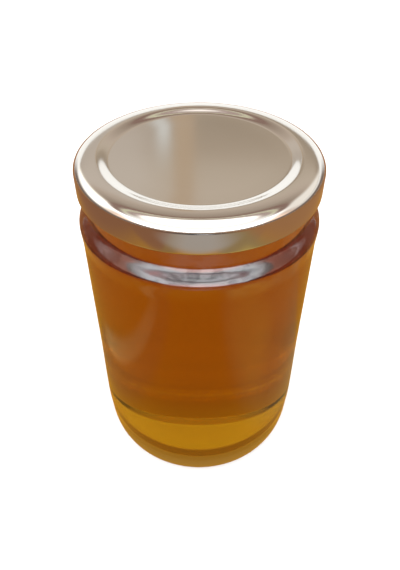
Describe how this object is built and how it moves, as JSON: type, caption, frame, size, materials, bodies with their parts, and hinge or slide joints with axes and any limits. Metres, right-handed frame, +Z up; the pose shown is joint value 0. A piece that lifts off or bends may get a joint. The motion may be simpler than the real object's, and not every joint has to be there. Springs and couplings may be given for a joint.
{
  "type": "honey jar",
  "caption": "Round clear glass jar filled with amber honey and shut by a pressed tinplate twist-off lid with a sunk panel, for storing and serving honey.",
  "frame": {"origin": "centre of the base, on the surface that the jar stands on", "axes": "+Z up along the axis of the jar; the jar is round, so X and Y are free"},
  "size_m": [0.0878, 0.0878, 0.1393],
  "materials": {
    "clear_glass": "clear soda-lime glass, smooth and glossy, faintly wavy where it was blown",
    "amber_honey": "clear amber liquid honey, smooth and glossy",
    "tinplate": "bright rolled tinplate with a clear lacquer, faint rolling grain"
  },
  "bodies": {
    "root": {"jar_glass": "clear_glass", "honey": "amber_honey", "lid": "tinplate"}
  },
  "joints": []
}
